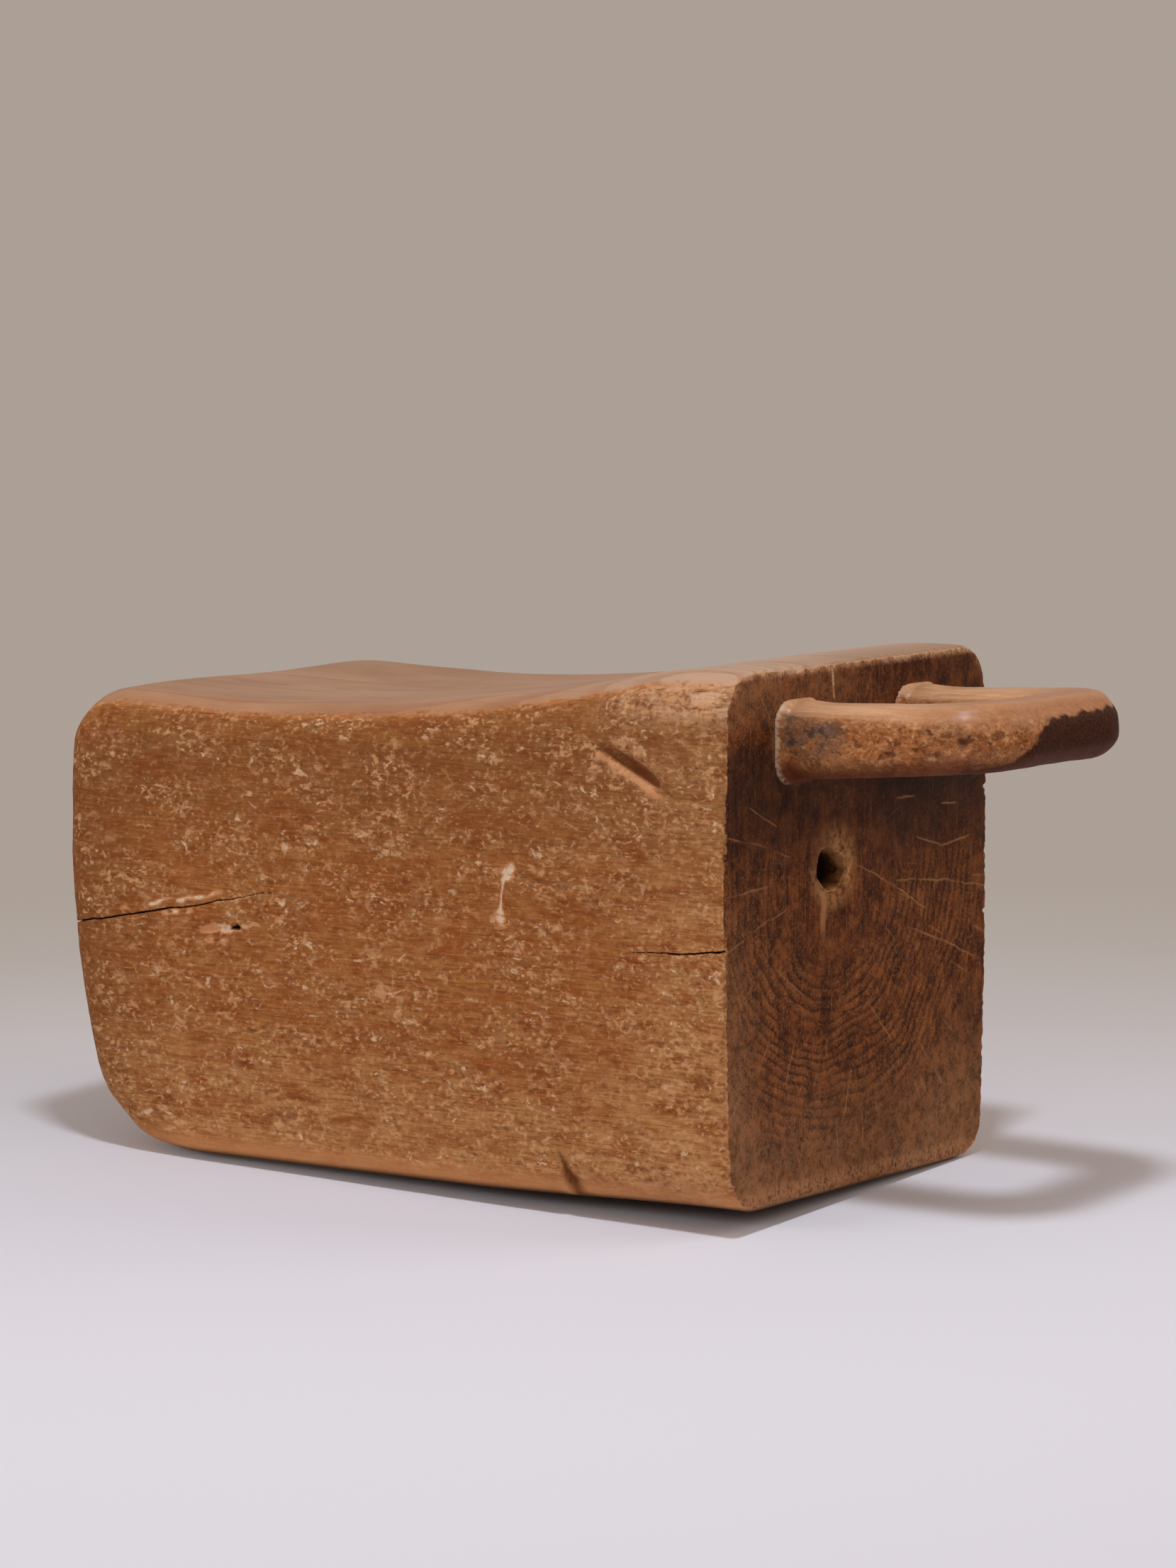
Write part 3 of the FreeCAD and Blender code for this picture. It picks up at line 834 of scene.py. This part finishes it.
def torn_fibres(wood):
    """Where the long sides have torn: in patches, more low down and towards the handle end."""
    patch = wood.place.grain((44, 28, 20), 4.0, 0.6, 0.3, 3.3)
    torn = (patch.ease(0.4, 0.6) + 0.35 * wood.front + 0.3 * wood.low).least(1.0)
    return torn * (1 - 0.8 * wood.up.ease(14, 6))


def side_wood(wood, torn):
    """Long sides: combed fibres between orange and yellow brown, greyer and flecked where they have torn."""
    along, up, front = wood.along, wood.up, wood.front
    hue, fibre, mottle, speck = wood.hue, wood.fibre, wood.mottle, wood.speck
    fleck = wood.place.grain((7.0, 4.6, 4.6), 3.0, 0.6, 0.4, 6.0)
    flake = wood.place.grain((7, 4.6, 4.6), 3.0, 0.6, 0.5, 11.0)
    rubbed = (0.58 * wood.low + 0.58 * front).least(0.75) * hue.ease(0.3, 0.6)
    # Painted shade: darker towards the back end, and along its upper part
    shade_towards_back = along.ease(-120, BACK) * 0.42 * up.ease(235, 190)
    shade_towards_back = shade_towards_back + up.ease(130, 220) * 0.36 * along.ease(BACK, -150)
    # Painted glints on the top of the corner by the handle end
    corner_glints = front * up.ease(236, 256) * (0.3 * fibre.ease(0.38, 0.6) + 0.7 * mottle.ease(0.42, 0.58))
    return tinted(
        hue.ease(0.34, 0.66).blend(paint(142, 76, 29), paint(152, 94, 44)),
        (wood.rings * 0.15, (118, 60, 22)),
        (mottle.ease(0.5, 0.3) * 0.4, (104, 54, 22)),
        (mottle.ease(0.5, 0.7) * 0.3, (174, 116, 66)),
        (fibre.ease(0.5, 0.3) * 0.55, (102, 54, 24)),
        (fibre.ease(0.5, 0.7) * 0.5, (178, 120, 74)),
        (wood.thread.ease(0.46, 0.3) * 0.3, (96, 52, 26)),
        (torn * mottle.ease(0.4, 0.65) * 0.35, (150, 114, 80)),
        (rubbed * (0.4 + 0.6 * fibre.ease(0.36, 0.6)), (188, 136, 86)),
        (shade_towards_back.least(0.65), (98, 57, 28)),
        (speck.ease(0.44, 0.28) * (0.3 + 0.7 * torn) * 0.5, (82, 48, 26)),
        (speck.ease(0.55, 0.72) * (0.35 + 0.65 * torn) * 0.6, (206, 156, 106)),
        (fleck.ease(0.54, 0.68) * (0.2 + 0.8 * torn) * 0.6, (204, 154, 110)),
        (flake.ease(0.62, 0.71) * (0.4 + 0.6 * torn) * 0.75, (218, 182, 146)),
        (corner_glints * 0.6, (224, 186, 154)),
        (up.ease(16, 5) * 0.65, (200, 138, 88)),
        (wood.worn * 0.7 * speck.ease(0.35, 0.6) * front.most(wood.seat), (198, 146, 104)),
    )


def seat_wood(wood):
    """Seat: rubbed smooth, with a painted sheen that grows paler towards the handle end, browner along the
    far part of the crest.
    """
    cloud = wood.place.grain((70, 40, 26), 3.0, 0.55, 0.4)
    crest = wood.along.ease(165, FRONT) * wood.across.ease(-95, 10)
    lines = wood.rings * 0.36 + wood.fibre.ease(0.5, 0.3) * 0.3
    return tinted(
        cloud.ease(0.25, 0.75).blend(paint(154, 106, 73), paint(172, 126, 93)),
        # Painted sheen, paler towards the handle end
        (wood.along.ease(60, 190) * 0.7, (190, 156, 130)),
        (crest * 0.55, (126, 86, 56)),
        (lines.least(0.8), (138, 86, 56)),
    )


def back_end_wood(wood):
    """Back end: weathered end grain whose rings show only in places."""
    return tinted(
        wood.hue.ease(0.36, 0.64).blend(paint(104, 58, 31), paint(126, 78, 45)),
        (wood.rings * (0.12 + 0.4 * wood.broken) + wood.speck * 0.3, (72, 39, 21)),
        (wood.mottle.ease(0.5, 0.7) * 0.4, (156, 104, 66)),
    )


def radial_checks(wood):
    """Fine rays out from the heart, each only part of the way."""
    spread = wood.place.node("ShaderNodeCombineXYZ", None, {"X": wood.angle * 34.0, "Y": wood.reach / 42})
    rays = wood.place.node("ShaderNodeTexNoise", None, {"Vector": spread, "Scale": 1.0, "Detail": 1.0})
    return rays.ease(0.68, 0.76) * wood.reach.ease(14, 40)


def pale_film(wood):
    """The dusty film on the handle end: low down, along the near edge and above the handle."""
    across, up, mottle = wood.across, wood.up, wood.mottle
    film = 0.58 * up.ease(75, 10) + 0.55 * across.ease(-80, -116) * up.ease(190, 60)
    film = film + 0.5 * up.ease(232, 252) * across.ease(50, -90)
    film = film + 0.4 * across.ease(30, 110) * up.ease(110, 40)
    return film.least(0.75) * (0.45 + 0.45 * mottle.ease(0.35, 0.6)) * wood.pore.ease(0.25, 0.5)


def handle_end_wood(wood):
    """Handle end: dark sawn end grain with rings below the heart, with painted shade below the handle."""
    place, across, up, reach = wood.place, wood.across, wood.up, wood.reach
    rings, mottle, saw, pore = wood.rings, wood.mottle, wood.saw, wood.pore
    blot = place.grain((30, 13, 17), 4.0, 0.65, 0.3, 13.0)
    dash = place.grain((30, 0.6, 7), 1.0, 0.5, 0.2, 6.0)
    ringed = reach.ease(36, 64) * reach.ease(156, 122) * up.ease(190, 130) * (0.25 + 0.75 * wood.broken)
    # Painted shade that the handle casts on the end grain below it
    handle_shade = up.ease(150, 208) * up.ease(236, 222) * (0.55 + 0.45 * mottle.ease(0.35, 0.6))
    heart = reach.ease(26, 13) * place.grain((5, 5, 5), 3.0, 0.7).ease(0.3, 0.6)
    heart = heart * (0.35 + 0.65 * wood.angle.ease(2.4, 0.6))
    return tinted(
        wood.hue.ease(0.36, 0.64).blend(paint(78, 35, 12), paint(106, 57, 25)),
        (blot.ease(0.5, 0.66) * 0.6, (142, 82, 40)),
        (blot.ease(0.52, 0.36) * 0.8, (42, 18, 8)),
        (mottle.ease(0.5, 0.68) * 0.45, (144, 80, 40)),
        (mottle.ease(0.48, 0.32) * 0.5, (54, 25, 12)),
        (saw.ease(0.5, 0.7) * 0.45 * up.ease(60, 150), (142, 86, 50)),
        (saw.ease(0.48, 0.3) * 0.55, (44, 21, 10)),
        (rings * (0.12 + 0.46 * ringed), (46, 20, 8)),
        ((1 - rings) * ringed * 0.34 * pore.ease(0.36, 0.56), (164, 104, 58)),
        (pore.ease(0.54, 0.7) * 0.5, (164, 106, 60)),
        (pore.ease(0.46, 0.32) * 0.6, (42, 19, 9)),
        (pale_film(wood), (150, 106, 72)),
        (radial_checks(wood) * 0.25, (182, 128, 84)),
        (dash.ease(0.7, 0.78) * 0.4, (182, 130, 90)),
        # Painted shade, carrying the handle's shade lower down to the right of the heart
        (across.ease(-20, 50) * up.ease(120, 180) * 0.4, (46, 23, 11)),
        (handle_shade * (0.74 + 0.2 * across.ease(-40, 50)), (37, 23, 17)),
        (heart * 0.9, (180, 128, 80)),
        (wood.worn * 0.6 * wood.speck.ease(0.3, 0.6), (178, 126, 86)),
        # Painted shade inside the heart's hollow
        (wood.along.ease(FRONT - 3, FRONT - 14) * reach.ease(25, 21), (50, 27, 13)),
    )


def handle_end_share(wood):
    """1 on the handle end and 0 elsewhere, with a frayed border."""
    end = wood.place.mask("end_grain")
    frayed = (wood.place.grain((5, 1.3, 1.3), 2.0, 0.6) - 0.5) * 1.6
    share = (end + frayed * end * (1 - end) * 4).ease(0.4, 0.6)
    return share * (wood.up + frayed * 3).ease(CREST - 1, CREST - 6)


def with_marks(wood, colour, edge):
    """The colour with the listed marks: rubbed and fresh pale wood with some painted highlight on raised
    lips, and painted shade in the cracks, pits and hollows.
    """
    pale, dark = wood.place.mask("pale_mark"), wood.place.mask("hollow_shade")
    colour = tinted(colour, ((pale * 2.2).least(0.75) * (1 - edge), (202, 142, 98)))
    ragged = (pale + (wood.speck - 0.5) * 0.9 + (wood.thread - 0.5) * 0.5).ease(0.36, 0.66)
    ragged = edge * pale + (1 - edge) * ragged * pale.ease(0.32, 0.5)
    fresh = edge.blend(paint(208, 184, 158), paint(190, 138, 92))
    colour = (ragged * 0.85).blend(colour, fresh)
    return tinted(colour, ((dark * 2).least(1.0), (100, 52, 20)), (dark.ease(0.55, 0.95), (50, 26, 13)))


def block_wood():
    """Weathered hardwood: torn pale fibres on the sides, a rubbed seat and dark end grain."""
    material, place, shader = new_material("block_wood")
    wood = block_grains(place)
    seat, fibre, speck = wood.seat, wood.fibre, wood.speck
    torn, edge = torn_fibres(wood), handle_end_share(wood)
    lip = seat * (1 - seat) * 4
    colour = tinted(side_wood(wood, torn), (lip * 0.5 * fibre.ease(0.3, 0.55), (184, 112, 56)))
    colour = (seat + (wood.mottle - 0.5) * lip * 1.2).ease(0.3, 0.8).blend(colour, seat_wood(wood))
    colour = (place.mask("back_grain") * 0.8).blend(colour, back_end_wood(wood))
    colour = edge.blend(colour, handle_end_wood(wood))
    # Painted shade along the floor edge and under the block
    colour = tinted(colour, (wood.up.ease(4.5, 0.5) * 0.8, (64, 36, 20)))
    colour = with_marks(wood, colour, edge)

    roughness = 0.66 + 0.12 * speck - 0.26 * seat
    combed = (fibre * 0.45 + wood.thread * 0.25 + speck * 0.5 * torn) * (1 - 0.8 * seat)
    height = combed * (1 - edge) + (wood.saw * 0.35 + wood.pore * 0.3) * edge
    wire_up(shader, colour, roughness, coat=seat * 0.45, height=height, bump_mm=0.4)
    shader.inputs["Specular IOR Level"].default_value = 0.1
    shader.inputs["Coat Roughness"].default_value = 0.35
    return material


# The handle's wood
def handle_wood():
    """Hand-polished hardwood, pale on top, with a dark stain round the bow."""
    material, place, shader = new_material("handle_wood")
    stained, top, under, worn, pit = (place.mask(name) for name in
                                      ("stain", "top", "under", "worn_edge", "hollow_shade"))
    along, across, up = place.axis("X"), place.axis("Y"), place.axis("Z")
    fibre = place.grain((34, 1.3, 1.3), 3.0, 0.6)
    cloud = place.grain((30, 22, 14), 3.0, 0.6, 0.5)
    mottle = place.grain((5, 3.5, 3.5), 3.0, 0.7, 0.2, 2.0)
    speck = place.grain((2.0, 1.5, 1.5), 2.0, 0.6, 0.2, 9.0)
    blotch = place.grain((15, 10, 7), 3.0, 0.65, 0.8, 5.0)

    bow = along.ease(FRONT + 62, FRONT + 102) * (0.3 + 0.7 * fibre.ease(0.3, 0.6))
    polished = fibre.ease(0.3, 0.7).blend(paint(178, 126, 88), paint(204, 158, 120))
    polished = tinted(polished, (bow * 0.75, (146, 84, 43)))
    colour = tinted(
        cloud.ease(0.3, 0.7).blend(paint(140, 78, 36), paint(166, 106, 60)),
        (blotch.ease(0.48, 0.62) * (1 - top) * 0.75, (88, 44, 20)),
        (mottle.ease(0.5, 0.72) * 0.75, (206, 154, 108)),
        (mottle.ease(0.48, 0.3) * 0.8, (94, 46, 20)),
        (speck.ease(0.56, 0.7) * 0.65, (76, 38, 18)),
        (speck.ease(0.44, 0.3) * 0.35, (204, 158, 116)),
        (up.ease(230, 214) * 0.45, (104, 56, 28)),
    )
    colour = (top.ease(0.2, 0.9) * 0.8).blend(colour, polished)
    # Paler worn edges, and painted shade in the pits
    colour = tinted(colour, (worn * 0.3, (196, 148, 108)), (pit * 0.85, (70, 36, 22)))

    # The bow's outer face, the undersides and the lower edge of the near root
    deep = fibre.ease(0.35, 0.65).blend(paint(34, 13, 5), paint(72, 33, 13))
    colour = stained.blend(colour, tinted(deep, (mottle.ease(0.5, 0.75) * 0.5, (100, 50, 22))))
    root = along.ease(FRONT + 16, FRONT + 6) * up.ease(224, 216) * mottle.ease(0.3, 0.55)
    colour = tinted(colour, (under * 0.75, (86, 46, 28)), (root * 0.8, (92, 40, 22)))

    # Grime beside the near root, and the pale line where the arm meets the block
    slanted = up + along * 0.16
    grime = along.ease(FRONT + 2, FRONT + 7) * along.ease(FRONT + 44, FRONT + 28) * across.ease(-70, -74)
    grime = grime * slanted.ease(259, 266) * slanted.ease(283, 276) * blotch.ease(0.36, 0.52)
    filler = along.ease(FRONT + 3.2, FRONT + 1.4) * across.ease(-66, -74) * mottle.ease(0.38, 0.6)
    colour = tinted(
        colour,
        (grime * 0.6, (136, 106, 86)),
        (grime * mottle.ease(0.4, 0.6) * 0.8, (52, 42, 38)),
        (filler * 0.7, (190, 162, 134)),
    )

    roughness = 0.52 + 0.2 * mottle - 0.22 * top - 0.08 * worn
    height = fibre * 0.35 + mottle * 0.5 - speck.ease(0.58, 0.7) * 0.5 * (1 - top)
    wire_up(shader, colour, roughness, coat=top * 0.36 * (1 - stained), height=height, bump_mm=0.35)
    shader.inputs["Specular IOR Level"].default_value = 0.08
    shader.inputs["Coat Roughness"].default_value = 0.35
    return material


# The stage
BACKDROP = (172, 160, 150)
PAPER = (216, 212, 219)
UNLIT = (0, 0, 0)
POOL_CENTRE_M = (0.53, -0.73, 0.0)
POOL_RADIUS_M = (0.75, 1.75)
FLOOR_RADIUS_M = 6.0
# The stool leans a little, and its near side clears the floor: (height in metres, rise along, rise across)
FLOOR_SLANT = (-0.0002, -0.0249, 0.0517)
# Each soft box as its place, aim and size in metres, its watts and its colour
SOFT_BOXES = {
    "overhead_box": ((0.442, -0.555, 1.9), (0.1, -0.1, 0.1), (0.2, 0.2), 21.0, (0.82, 0.91, 1.0)),
    "front_box": ((-1.1, -2.3, 0.95), (0.0, 0.0, 0.15), (1.4, 0.8), 21.5, (1.0, 1.0, 1.0)),
    "right_box": ((1.5, 0.9, 1.0), (0.3, 0.0, 0.0), (1.0, 1.0), 8.5, (1.0, 0.94, 0.86)),
}


def studio_paper():
    """Pale lilac floor round the object; further off it glows like the lit backdrop, so no horizon shows."""
    material, place, shader = new_material("studio_paper")
    away = place.node("ShaderNodeVectorMath", {"operation": "DISTANCE"},
                      {0: place, 1: POOL_CENTRE_M}, "Value")
    backdrop = away.ease(*POOL_RADIUS_M)
    backdrop.blend(paint(*PAPER), paint(*UNLIT)).feed(shader, "Base Color")
    backdrop.blend(paint(*UNLIT), paint(*BACKDROP)).feed(shader, "Emission Color")
    shader.inputs["Emission Strength"].default_value = 1.0
    shader.inputs["Specular IOR Level"].default_value = 0.0
    return material


def make_stage():
    mesh = bpy.data.meshes.new("studio_floor")
    disc = bmesh.new()
    bmesh.ops.create_circle(disc, cap_ends=True, segments=64, radius=FLOOR_RADIUS_M)
    for vertex in disc.verts:
        vertex.co.z = Vector(FLOOR_SLANT).dot((1.0, vertex.co.x, vertex.co.y))
    disc.to_mesh(mesh)
    disc.free()
    mesh.materials.append(studio_paper())
    floor = bpy.data.objects.new("studio_floor", mesh)
    bpy.context.scene.collection.objects.link(floor)


def soft_box(name, place, aim, size, watts, colour):
    lamp = bpy.data.lights.new(name, "AREA")
    lamp.color = colour
    lamp.shape = "RECTANGLE"
    lamp.size, lamp.size_y = size
    lamp.energy = watts
    holder = bpy.data.objects.new(name, lamp)
    holder.location = place
    holder.rotation_mode = "QUATERNION"
    holder.rotation_quaternion = (Vector(aim) - Vector(place)).to_track_quat("-Z", "Y")
    bpy.context.scene.collection.objects.link(holder)


def make_lights():
    world = bpy.data.worlds.new("studio_air")
    bpy.context.scene.world = world
    world.use_nodes = True
    air = next(node for node in world.node_tree.nodes if node.type == "BACKGROUND")
    air.inputs["Color"].default_value = paint(*BACKDROP)
    air.inputs["Strength"].default_value = 1.0
    for name, (place, aim, size, watts, colour) in SOFT_BOXES.items():
        soft_box(name, place, aim, size, watts, colour)


# The camera, as the photograph was taken
IMAGE_HEIGHT_PX = 2212
FOCAL_PX = 8005.8
CAMERA_PLACE_M = (1.72784, -2.38789, 0.49515)
CAMERA_AZIMUTH = 35.1668
CAMERA_TILT = 5.8937
CAMERA_ROLL = -0.1472


def make_camera():
    camera = bpy.data.cameras.new("studio_camera")
    camera.sensor_width = 36.0
    camera.lens = camera.sensor_width * FOCAL_PX / IMAGE_HEIGHT_PX
    azimuth, tilt, roll = (math.radians(angle) for angle in (CAMERA_AZIMUTH, CAMERA_TILT, CAMERA_ROLL))
    back = Vector((math.sin(azimuth) * math.cos(tilt), -math.cos(azimuth) * math.cos(tilt), math.sin(tilt)))
    level = Vector((math.cos(azimuth), math.sin(azimuth), 0.0))
    upright = back.cross(level)
    right = level * math.cos(roll) + upright * math.sin(roll)
    up = upright * math.cos(roll) - level * math.sin(roll)
    holder = bpy.data.objects.new("studio_camera", camera)
    holder.matrix_world = Matrix.Translation(CAMERA_PLACE_M) @ Matrix((right, up, back)).transposed().to_4x4()
    bpy.context.scene.collection.objects.link(holder)
    bpy.context.scene.camera = holder


finish_piece(make_block(), "seat_block", block_wood())
finish_piece(make_handle(), "carry_handle", handle_wood())
make_stage()
make_lights()
make_camera()
bpy.context.scene.view_settings.view_transform = "Standard"
